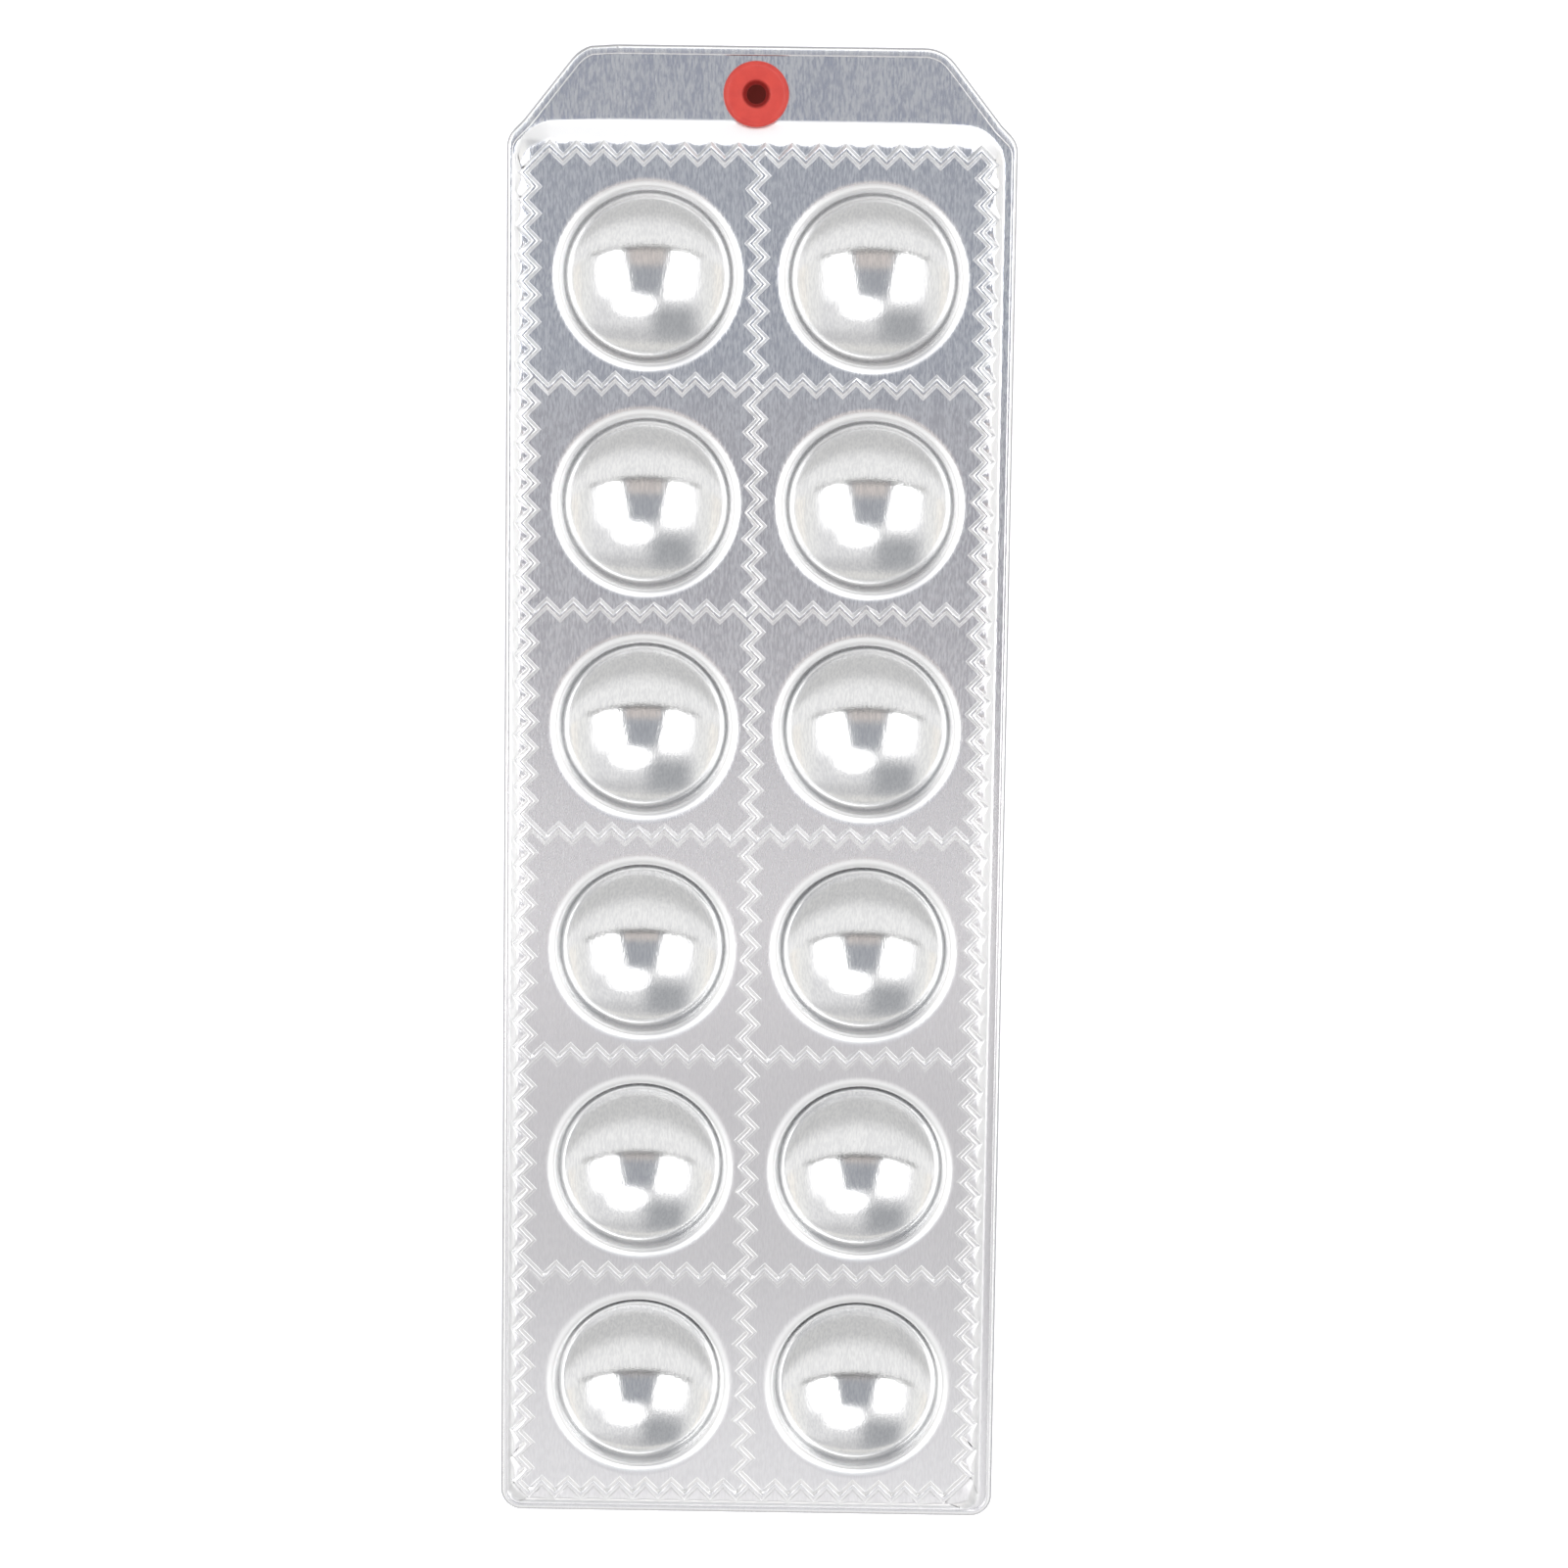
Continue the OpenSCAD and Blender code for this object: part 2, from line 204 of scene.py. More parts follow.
# Relief cut in the hem: its columns in widths of the cut, and as shares of the sheet's thickness the
# height of its floor and the drop where the fold begins
CUT_COLUMNS = np.array([-0.6, -0.5, 0.5, 0.6])
CUT_FLOOR = 0.03
CUT_DROP = 0.9

# Points nearer than this are merged
MERGE_DISTANCE = 0.002
# Edges that turn by more than these degrees stay crisp
PLATE_CRISP = 38
GROMMET_CRISP = 40
# Places on an outline that stop at the end of an edge stay this far before the next arc
JUST_BEFORE = 1e-9


def left_normals(start, end):
    """Unit normals to the left of the edges from start to end, for points in rows."""
    d = end - start
    n = np.stack([-d[:, 1], d[:, 0]], 1)
    return n / np.linalg.norm(n, axis=1, keepdims=True)


def corner_normals(points):
    """The left normals of the edges that arrive at and leave each point of a closed loop."""
    before = np.roll(points, 1, axis=0)
    after = np.roll(points, -1, axis=0)
    return left_normals(before, points), left_normals(points, after)


def mitres(loop):
    """How far each point of a closed loop moves when all its edges move 1 mm to their left:
    the sum of its two edge normals, over one plus their product."""
    n1, n2 = corner_normals(loop)
    return (n1 + n2) / (1 + (n1 * n2).sum(1, keepdims=True))


def inset(corners, widths):
    """Corners [x, y, radius] with the edge that leaves each one moved in by its own width."""
    corners = np.asarray(corners, float)
    w2 = np.broadcast_to(np.asarray(widths, float), len(corners))[:, None]
    w1 = np.roll(w2, 1, axis=0)
    n1, n2 = corner_normals(corners[:, :2])
    c = (n1 * n2).sum(1, keepdims=True)
    move = (n1 * (w1 - c * w2) + n2 * (w2 - c * w1)) / (1 - c * c)
    radius = np.maximum(0, corners[:, 2:] - (w1 + w2) / 2)
    return np.hstack([corners[:, :2] + move, radius])


def on_rounded(corners, u):
    """Points of an outline with rounded corners. The whole part of u / 2 picks a corner; the rest runs
    from 0 to 1 along its arc, and from 1 to 2 along the straight edge to the next arc."""
    v, r = corners[:, :2], corners[:, 2:]
    n1, n2 = corner_normals(v)
    c = (n1 * n2).sum(1, keepdims=True)
    centre = v + (n1 + n2) * r / (1 + c)
    start = np.arctan2(n1[:, 1], n1[:, 0])
    turn = np.arccos(np.clip(c[:, 0], -1, 1))

    def arc(i, t):
        """Points at share t of the arc of corner i: its centre less the radius along the turned normal."""
        a = start[i] + turn[i] * t
        return centre[i] - r[i] * np.stack([np.cos(a), np.sin(a)], 1)

    i = np.floor(u / 2).astype(int)
    t = u - 2 * i
    i, j = i % len(v), (i + 1) % len(v)
    along = np.clip(t - 1, 0, 1)[:, None]
    edge = arc(i, np.ones(len(u))) * (1 - along) + arc(j, np.zeros(len(u))) * along
    return np.where((t < 1)[:, None], arc(i, np.clip(t, 0, 1)), edge)


def edge_place(corners, i, axis, value):
    """The u of on_rounded at which the straight edge that leaves corner i reaches an x or a y."""
    ends = on_rounded(corners, np.array([2.0 * i + 1, 2.0 * i + 2 - JUST_BEFORE]))[:, axis]
    return 2 * i + 1 + (value - ends[0]) / (ends[1] - ends[0])


def box_distance(p, x_mid, half_w, y_low, y_high, r_low, r_high):
    """Signed distance from points to a rectangle whose corners have one radius at each end."""
    y_mid = (y_low + y_high) / 2
    r = np.where(p[..., 1] > y_mid, r_high, r_low)
    qx = np.abs(p[..., 0] - x_mid) - half_w + r
    qy = np.abs(p[..., 1] - y_mid) - (y_high - y_low) / 2 + r
    outside = np.hypot(np.maximum(qx, 0), np.maximum(qy, 0))
    return outside + np.minimum(np.maximum(qx, qy), 0) - r


# Outline corners [x, y, radius], anticlockwise from the far left
KINK_X = BODY_HALF_W - SHOULDER
TAB_HALF_W = KINK_X - TAB_H / math.tan(TAB_ANGLE)
OUTLINE = np.array([
    [-BODY_HALF_W, END_Y, END_CORNER_R],
    [BODY_HALF_W, END_Y, END_CORNER_R],
    [BODY_HALF_W, CREASE_Y - SHOULDER, SHOULDER_R],
    [KINK_X, CREASE_Y, 0],
    [TAB_HALF_W, TAB_Y, TAB_CORNER_R],
    [-TAB_HALF_W, TAB_Y, TAB_CORNER_R],
    [-KINK_X, CREASE_Y, 0],
    [-BODY_HALF_W, CREASE_Y - SHOULDER, SHOULDER_R],
])
# The corner at which the straight edge of the tab starts, and the hem's width on each edge
TAB_EDGE = 4
HEM_WIDTHS = np.array([HEM_W, HEM_W] + [TAB_HEM_W] * 5 + [HEM_W])

# Foot of the slope, with head corners that clear the hem on the shoulders
SHOULDER_REACH = BODY_HALF_W + CREASE_Y - SHOULDER - math.sqrt(2) * (TAB_HEM_W + FOOT_GAP)
FOOT_REACH = FOOT_HALF_W + abs(FIELD_SHIFT) + CREASE_Y
FOOT_HEAD_R = (FOOT_REACH - SHOULDER_REACH) / (2 - math.sqrt(2))
FOOT_END_R = END_CORNER_R - HEM_W
FOOT_END_Y = GRID_LOW_Y - END_MARGIN - SLOPE_W
FOOT = np.array([
    [FIELD_SHIFT - FOOT_HALF_W, FOOT_END_Y, FOOT_END_R],
    [FIELD_SHIFT + FOOT_HALF_W, FOOT_END_Y, FOOT_END_R],
    [FIELD_SHIFT + FOOT_HALF_W, CREASE_Y, FOOT_HEAD_R],
    [FIELD_SHIFT - FOOT_HALF_W, CREASE_Y, FOOT_HEAD_R],
])
SIDE_BEND = SHEET_T * math.tan(math.atan(BORDER_DROP / SLOPE_W) / 2)
TAB_BEND = SHEET_T * math.tan(math.atan(BORDER_DROP / TAB_SLOPE_W) / 2)
BENDS = np.array([SIDE_BEND, SIDE_BEND, TAB_BEND, SIDE_BEND])


def slope_share(p, under=0):
    """How far down the slope a point lies: 0 at its top, 1 at its foot, below 0 on the field.
    It is the distance outside the field's edge, over that distance plus the one inside the foot."""
    side, head = under * SIDE_BEND, under * TAB_BEND
    field = box_distance(
        p, FIELD_SHIFT, FIELD_HALF_W - side, GRID_LOW_Y - END_MARGIN + side,
        GRID_TOP_Y + HEAD_MARGIN - head, FOOT_END_R - side, FIELD_CORNER_R - side,
    )
    foot = box_distance(
        p, FIELD_SHIFT, FOOT_HALF_W - side, FOOT_END_Y + side, CREASE_Y - head,
        FOOT_END_R - side, FOOT_HEAD_R - side,
    )
    return field / np.maximum(field - foot, 1e-6)


def sheet_level(p, ridge, under=0):
    """Height of the sheet at points p, where ridge is the share of a ridge's height (or a groove's).
    The drop follows a straight slope between two hyperbolic bends, and a ridge fades out on it."""
    w = np.clip(slope_share(p, under), -3, 4)
    drop = (1 + np.hypot(w, BEND_SOFT) - np.hypot(w - 1, BEND_SOFT)) / 2
    fade = np.clip((w - RIDGE_FADE[0]) / (RIDGE_FADE[1] - RIDGE_FADE[0]), 0, 1)
    fade = 1 - fade * fade * (3 - 2 * fade)
    rise = (GROOVE_DEPTH if under else RIDGE_H) * ridge * fade
    return FIELD_Z - under * SHEET_T - BORDER_DROP * drop + rise


def raised(p, z):
    """Points in the plane joined with their heights."""
    return np.concatenate([p, np.broadcast_to(z, p.shape[:-1])[..., None]], -1)


def unit_circle(columns):
    """Points evenly round a circle of radius 1: the cosine and sine of their angles."""
    angle = np.linspace(0, 2 * math.pi, columns, endpoint=False)
    return np.stack([np.cos(angle), np.sin(angle)], 1)


def cross_points(i, k):
    """Vertices k of cross zigzag i, counted from the left and from the tab, and their middle line."""
    side = np.where((i + k) % 2 == 1, 0.5, -0.5)
    x = GRID_LEFT_X + (k + 0.5) * HALF_WAVE
    y = np.full(len(k), GRID_TOP_Y - i * CELL)
    return np.stack([x, y + side * HALF_WAVE], 1), np.stack([x, y], 1)


def length_points(j, r):
    """Vertices r of lengthwise zigzag j, counted from the tab and from the left, and their middle line."""
    side = np.where((j + r) % 2 == 1, -0.5, 0.5)
    x = np.full(len(r), GRID_LEFT_X + j * CELL)
    y = GRID_TOP_Y - (r + 0.5) * HALF_WAVE
    return np.stack([x + side * HALF_WAVE, y], 1), np.stack([x, y], 1)


def zigzag_loop(i1, i2, j1, j2):
    """The zigzags round a block of cells as one anticlockwise loop, with a point halfway along each
    edge, and the places on the plain rectangle that the points stand for. Where two zigzags share a
    vertex it is kept once, and stands for the rectangle's corner."""
    down = np.arange(i1 * HALF_WAVES, i2 * HALF_WAVES)
    across = np.arange(j1 * HALF_WAVES, j2 * HALF_WAVES)
    sides = [
        length_points(j1, down),
        cross_points(i2, across),
        length_points(j2, down[::-1]),
        cross_points(i1, across[::-1]),
    ]
    points = np.concatenate([s[0] for s in sides])
    places = np.concatenate([s[1] for s in sides])
    keep = np.linalg.norm(points - np.roll(points, 1, axis=0), axis=1) > HALF_WAVE / 2
    shared = ~np.roll(keep, -1)
    places = np.where(shared[:, None], (places + np.roll(places, -1, axis=0)) / 2, places)
    points, places = points[keep], places[keep]
    halved = [
        np.stack([a, (a + np.roll(a, -1, axis=0)) / 2], 1).reshape(-1, 2) for a in (points, places)
    ]
    return halved[0], halved[1]


def bowl_section(grow, lip_steps, toe_steps, dish_steps):
    """Radii and heights from the mouth of a bowl to its middle: a shallow lip, its tight inner bend, a
    straight wall, a toe radius and a dish, each tangent to the next. The dish's radius is the one that
    brings it down to the bowl's depth in the middle. The under face is the same arcs grown by the sheet."""
    bend = np.array([
        MOUTH_R - (LIP_OUTER_R - LIP_R) * math.sin(LIP_ANGLE),
        FIELD_Z - LIP_OUTER_R + (LIP_OUTER_R - LIP_R) * math.cos(LIP_ANGLE),
    ])
    run = bend[0] - LIP_R * math.sin(WALL_ANGLE) - TOE_R * (math.sin(WALL_ANGLE) - math.sin(DISH_ANGLE))
    rise = bend[1] - SHEET_T + LIP_R * math.cos(WALL_ANGLE)
    rise -= TOE_R * (math.cos(DISH_ANGLE) - math.cos(WALL_ANGLE))
    share = math.sin(DISH_ANGLE) * math.sin(WALL_ANGLE) - (1 - math.cos(DISH_ANGLE)) * math.cos(WALL_ANGLE)
    dish_r = (run * math.sin(WALL_ANGLE) - rise * math.cos(WALL_ANGLE)) / share
    dish_z = SHEET_T + dish_r
    toe = ((dish_r - TOE_R) * math.sin(DISH_ANGLE), dish_z - (dish_r - TOE_R) * math.cos(DISH_ANGLE))
    a = np.linspace(0, LIP_ANGLE, lip_steps, endpoint=False)
    lip_r = LIP_OUTER_R - grow
    lip = np.stack([MOUTH_R - lip_r * np.sin(a), FIELD_Z - LIP_OUTER_R + lip_r * np.cos(a)], 1)
    a = np.linspace(LIP_ANGLE, WALL_ANGLE, lip_steps + 1)
    lip = np.concatenate([lip, bend + (LIP_R - grow) * np.stack([-np.sin(a), np.cos(a)], 1)])
    a = np.linspace(WALL_ANGLE, DISH_ANGLE, toe_steps + 1)
    corner = np.stack([toe[0] + (TOE_R + grow) * np.sin(a), toe[1] - (TOE_R + grow) * np.cos(a)], 1)
    a = DISH_ANGLE * np.linspace(1, 0, dish_steps + 1)[1:]
    dish = np.stack([(dish_r + grow) * np.sin(a), dish_z - (dish_r + grow) * np.cos(a)], 1)
    return np.concatenate([lip, corner, dish])


class Skin:
    """Collects the points and faces of one closed mesh from bands of rings."""

    def __init__(self):
        self.points = []
        self.faces = []
        self.shares = []
        self.count = 0

    def band(self, rings, outward, share=0.0, hole=None):
        """Joins closed rings of points, an array [ring, point, xyz], by quads that face up if the rings
        run inwards, or outwards with outward set. share is the finish: one value, one a ring or one a
        point. hole is a block (first row, last row, first column, last column) that is left open."""
        rows, n = rings.shape[:2]
        r, k = np.meshgrid(np.arange(rows - 1), np.arange(n), indexing="ij")
        if hole is not None:
            r1, r2, k1, k2 = hole
            inside = (r >= r1) & (r < r2) & (k >= k1) & (k < k2)
            r, k = r[~inside], k[~inside]
        r, k = r.ravel(), k.ravel()
        after = (k + 1) % n
        quads = np.stack([r * n + k, r * n + after, (r + 1) * n + after, (r + 1) * n + k], 1)
        quads += self.count
        self.points.append(rings.reshape(-1, 3))
        self.faces.append(quads[:, ::-1] if outward else quads)
        share = np.asarray(share, float)
        if share.ndim < 2:
            share = share.reshape(-1, 1)
        self.shares.append(np.broadcast_to(share, (rows, n)).ravel())
        self.count += rows * n

    def flat(self, outer, inner, face_down):
        """Fills the level strip between an outer and an inner ring of points with triangles, the
        constrained Delaunay ones inside the outer ring. Those with all three corners on the inner ring
        lie inside that one and are left out."""
        both, n = np.concatenate([outer, inner]), len(outer)
        rings = [np.arange(n).tolist(), np.arange(n, len(both)).tolist()]
        inside_only, same_point = 1, 1e-6
        filled = delaunay_2d_cdt(both[:, :2].tolist(), [], rings, inside_only, same_point)
        found, sources = np.array(filled[2]), np.array(filled[3])[:, 0]
        triangles = sources[found]
        triangles = triangles[(triangles < n).any(axis=1)] + self.count
        self.points.append(both)
        self.faces.append(triangles[:, ::-1] if face_down else triangles)
        self.shares.append(np.zeros(len(both)))
        self.count += len(both)

    def mesh(self, name, sharp):
        """The collected bands as one object: points that meet are merged, which closes seams and poles,
        and edges that turn by more than sharp degrees stay crisp."""
        data = bpy.data.meshes.new(name)
        faces = sum((block.tolist() for block in self.faces), [])
        data.from_pydata(np.concatenate(self.points) * MM, [], faces)
        finish_and_painted_dark = data.attributes.new("finish_and_painted_dark", "FLOAT", "POINT")
        finish_and_painted_dark.data.foreach_set("value", np.concatenate(self.shares).astype(np.float32))
        shape = bmesh.new()
        shape.from_mesh(data)
        bmesh.ops.remove_doubles(shape, verts=shape.verts, dist=MERGE_DISTANCE * MM)
        shape.to_mesh(data)
        shape.free()
        data.polygons.foreach_set("use_smooth", np.ones(len(data.polygons), bool))
        data.set_sharp_from_angle(angle=math.radians(sharp))
        data.update()
        piece = bpy.data.objects.new(name, data)
        bpy.context.scene.collection.objects.link(piece)
        return piece


def cell_bands(skin, i, j):
    """One cell: the inner half of its ridges, the flat and the bowl, on both faces."""
    loop, _ = zigzag_loop(i, i + 1, j, j + 1)
    lean = mitres(loop)
    centre = np.array([
        (j - (COLUMNS - 1) / 2) * BOWL_STEP_X,
        BOWL_MID_Y - (i - (ROWS - 1) / 2) * BOWL_STEP_Y,
    ])
    circle = unit_circle(BOWL_COLUMNS)
    for under, out, up, steps in (
        (0, RIDGE_OUT, RIDGE_UP, TOP_STEPS),
        (1, GROOVE_OUT, GROOVE_UP, UNDER_STEPS),
    ):
        ridge_worked = np.zeros(len(out)) if under else RIDGE_WORKED
        ridge = loop + lean * out[:, None, None]
        apart = np.linalg.norm(ridge - centre, axis=-1, keepdims=True)
        least = MOUTH_R + RIDGE_CLEAR + RIDGE_CLOSE_UP * (out[-1] - out)[:, None, None]
        ridge = centre + (ridge - centre) * np.maximum(1, least / apart)
        ridge = raised(ridge, sheet_level(ridge, up[:, None], under))
        section = bowl_section(under * SHEET_T, *steps)
        level = FIELD_Z - under * SHEET_T
        section = np.concatenate([[[MOUTH_R + LIP_EDGE, level]], section])
        bowl = centre + circle * section[:, 0, None, None]
        bowl = raised(bowl, section[:, 1, None])
        skin.band(ridge, bool(under), ridge_worked)
        skin.flat(ridge[-1], bowl[0], bool(under))
        bowl_worked = np.interp(section[:, 0], BOWL_WORKED_R, BOWL_WORKED)
        skin.band(bowl, bool(under), bowl_worked)


def spread(pairs, period, count):
    """Values at columns 0 to count - 1, in a straight line between the given (column, value) pairs,
    on a closed loop over which the value grows by a period."""
    columns, values = np.array(sorted(pairs), float).T
    columns = np.concatenate([columns - count, columns, columns + count])
    values = np.concatenate([values - period, values, values + period])
    return np.interp(np.arange(count), columns, values)


def nearest(places, at):
    """The number of the place at the least distance from a point."""
    return int(np.argmin(np.hypot(*(places - at).T)))


def outer_places(places):
    """For each column of the outer band: its place on the foot of the slope and on the outline, and
    the column at the top right corner. Round the corners, a set number of columns goes to each arc,
    and elsewhere columns run straight."""
    n = len(places)
    x1, x2 = GRID_LEFT_X, GRID_LEFT_X + COLUMNS * CELL
    # Columns at the low left, low right and top right corner. The loop starts and ends at the top left
    ll, lr, tr = (nearest(places, at) for at in ((x1, GRID_LOW_Y), (x2, GRID_LOW_Y), (x2, GRID_TOP_Y)))
    tl = n

    # Columns at which the arcs start and end, as pairs (column, place)
    foot = [
        (ll - 3, 0), (ll + 3, 1), (lr - 3, 2), (lr + 3, 3),
        (tr - 5, 4), (tr + 5, 5), (tl - 5, 6), (tl + 5, 7),
    ]
    rim = [
        (ll - 4, 0), (ll + 4, 1), (lr - 4, 2), (lr + 4, 3),
        (tr - 3, 4), (tr + 1, 5), (tr + 3, 6), (tr + 3, 7), (tr + 11, 8), (tr + 17, 9),
        (tl - 17, 10), (tl - 11, 11), (tl - 3, 12), (tl - 3, 13), (tl - 1, 14), (tl + 3, 15),
    ]
    # Columns from which the way out is straight, with the edge that they meet and the axis along it
    for column, foot_edge, rim_edge, axis in (
        (ll + 10, 0, 0, 0), (lr - 10, 0, 0, 0), (lr + 10, 1, 1, 1), (tr - 12, 1, 1, 1),
        (tr + 27, 2, 4, 0), (tl - 27, 2, 4, 0), (tl + 12, 3, 7, 1), (tl + ll - 10, 3, 7, 1),
    ):
        value = places[column % n][axis]
        foot.append((column, edge_place(FOOT, foot_edge, axis, value)))
        rim.append((column, edge_place(OUTLINE, rim_edge, axis, value)))
    turn_foot, turn_rim = 2 * len(FOOT), 2 * len(OUTLINE)
    # Columns past the last one belong to the start of the loop
    foot = [(c - n, u - turn_foot) if c >= n else (c, u) for c, u in foot]
    rim = [(c - n, u - turn_rim) if c >= n else (c, u) for c, u in rim]
    return spread(foot, turn_foot, n), spread(rim, turn_rim, n), tr


def slope_rings(start, foot, targets, under=0):
    """Rings between the foot of the ridges and the foot of the slope, at given shares of the slope.
    Where a ridge already runs further out, each ring keeps a least step from the one before."""
    w = slope_share(start, under)[None, :]
    order = np.arange(1, len(targets) + 1)[:, None]
    share = np.maximum(np.array(targets)[:, None], w + RING_STEP * order)
    t = ((share - w) / (1 - w))[..., None]
    return start + (foot - start) * t


def hem_rings(place):
    """The hem from its inner edge over the fold to the flat underneath: a step up, a flat, and a half
    round whose radius is the sheet's thickness. The relief cut spreads four columns of the hem."""
    cut_u = edge_place(OUTLINE, TAB_EDGE, 0, CUT_X)
    first = int(np.argmin(np.abs(place - cut_u))) - 1
    ends = on_rounded(OUTLINE, np.array([2.0 * TAB_EDGE + 1, 2.0 * TAB_EDGE + 2 - JUST_BEFORE]))[:, 0]
    per_mm = 1 / abs(ends[1] - ends[0])
    place = place.copy()
    place[first:first + len(CUT_COLUMNS)] = cut_u + per_mm * CUT_W * CUT_COLUMNS
    lowered = np.zeros(len(place))
    lowered[first + 1:first + len(CUT_COLUMNS) - 1] = 1
    rings = []
    for share, up in HEM_STEP:
        corners = inset(OUTLINE, HEM_WIDTHS * share)
        level = BORDER_Z + SHEET_T * (up - lowered * (up - CUT_FLOOR))
        rings.append(raised(on_rounded(corners, place), level))
    deep = lowered * SHEET_T * CUT_DROP
    for a in np.radians(np.linspace(90, -90, HEM_FOLD_RINGS)):
        corners = inset(OUTLINE, SHEET_T * (1 - math.cos(a)))
        level = BORDER_Z + SHEET_T * math.sin(a) - deep
        rings.append(raised(on_rounded(corners, place), level))
        # Only the first ring of the fold lies in the cut
        deep = 0.0
    return np.stack(rings)


def outer_band(skin):
    """All that lies outside the middle line of the outermost ridges, as one band of rings that runs out
    over the slope, the border, the tab and the hem, and back underneath to the same line."""
    loop, places = zigzag_loop(0, ROWS, 0, COLUMNS)
    first = nearest(places, (GRID_LEFT_X, GRID_TOP_Y))
    loop, places = np.roll(loop, -first, axis=0), np.roll(places, -first, axis=0)
    lean = mitres(loop)
    foot_place, rim_place, top_right = outer_places(places)
    hem_inner = on_rounded(inset(OUTLINE, HEM_WIDTHS), rim_place)
    faces = []
    for under, out, up, targets in (
        (0, RIDGE_OUT, RIDGE_UP, SLOPE_RINGS),
        (1, GROOVE_OUT, GROOVE_UP, UNDER_RINGS),
    ):
        foot = on_rounded(inset(FOOT, under * BENDS), foot_place)
        ridge = loop - lean * out[:, None, None]
        slope = slope_rings(ridge[-1], foot, targets, under)
        border = foot + (hem_inner - foot) * BORDER_RINGS[:, None, None]
        rings = np.concatenate([ridge, slope, foot[None], border])
        ridge_up = np.concatenate([up, np.zeros(len(rings) - len(up))])
        faces.append(raised(rings, sheet_level(rings, ridge_up[:, None], under)))
    top, bottom = faces
    hem = hem_rings(rim_place)

    beside = np.abs(places[:, 0] - GROMMET[0])
    on_top = np.arange(len(places)) > top_right
    middle = int(np.argmin(np.where(on_top, beside, np.inf)))
    k1, k2 = middle - HOLE_HALF_COLUMNS, middle + HOLE_HALF_COLUMNS
    first_top = len(top) - len(BORDER_RINGS)
    first_low = len(bottom) - len(BORDER_RINGS)
    hole_top = (first_top + HOLE_ROWS[0], first_top + HOLE_ROWS[1], k1, k2)
    hole_low = (first_low + HOLE_ROWS[0], first_low + HOLE_ROWS[1], k1, k2)
    # The slope has its own finish where it falls, and the field beside it stays as it is
    down = slope_share(top[..., :2])
    finish = BEND_WORKED * np.clip((down - SLOPE_WORKED_FROM) / SLOPE_WORKED_OVER, 0, 1)
    on_ridge = slice(len(RIDGE_WORKED))
    finish[on_ridge] = np.maximum(finish[on_ridge], RIDGE_WORKED[:, None])
    finish[first_top + 1:] = 0
    finish = np.concatenate([finish, np.broadcast_to(HEM_FINISH_AND_PAINTED_DARK[:, None], hem.shape[:2])])
    skin.band(np.concatenate([top, hem]), True, finish, hole_top)
    skin.band(bottom, False, 0.0, hole_low)
    skin.band(np.stack([hem[-1], bottom[-1]]), True)

    rims = []
    for rings, (r1, r2, _, _) in ((top, hole_top), (bottom, hole_low)):
        side = np.concatenate([
            rings[r1:r2, k1], rings[r2, k1:k2], rings[r2:r1:-1, k2], rings[r1, k2:k1:-1],
        ])
        away = side[:, :2] - GROMMET
        circle = GROMMET + away * (TAB_HOLE_R / np.linalg.norm(away, axis=1, keepdims=True))
        rims.append((side, np.column_stack([circle, np.full(len(circle), side[:, 2].mean())])))
    (top_side, top_circle), (low_side, low_circle) = rims
    skin.band(np.stack([top_side, top_circle, low_circle, low_side]), False)


def mould_plate():
    """The whole pressed sheet as one closed mesh."""
    skin = Skin()
    for i in range(ROWS):
        for j in range(COLUMNS):
            cell_bands(skin, i, j)
    outer_band(skin)
    return skin.mesh("mould_plate_skin", PLATE_CRISP)


def revolved(name, profile, columns, centre):
    """A closed profile of [radius, height] points turned round the vertical axis through centre."""
    closed = np.concatenate([profile, profile[:1]])
    rings = raised(centre + unit_circle(columns) * closed[:, 0, None, None], closed[:, 1, None])
    skin = Skin()
    skin.band(rings, False)
    return skin.mesh(name, GROMMET_CRISP)


def rounded_profile(corners, steps=5):
    """A closed profile whose corners [radius, height, rounding] are replaced by quarter-like arcs: the
    curve of second degree through the two tangent points, with the corner as its control point."""
    corners = np.asarray(corners, float)
    v, r = corners[:, :2], corners[:, 2:]
    to_last = np.roll(v, 1, axis=0) - v
    to_next = np.roll(v, -1, axis=0) - v
    a = v + to_last / np.linalg.norm(to_last, axis=1, keepdims=True) * r
    b = v + to_next / np.linalg.norm(to_next, axis=1, keepdims=True) * r
    t = np.linspace(0, 1, steps)[:, None, None]
    curve = a * (1 - t) ** 2 + 2 * v * t * (1 - t) + b * t ** 2
    return curve.transpose(1, 0, 2).reshape(-1, 2)


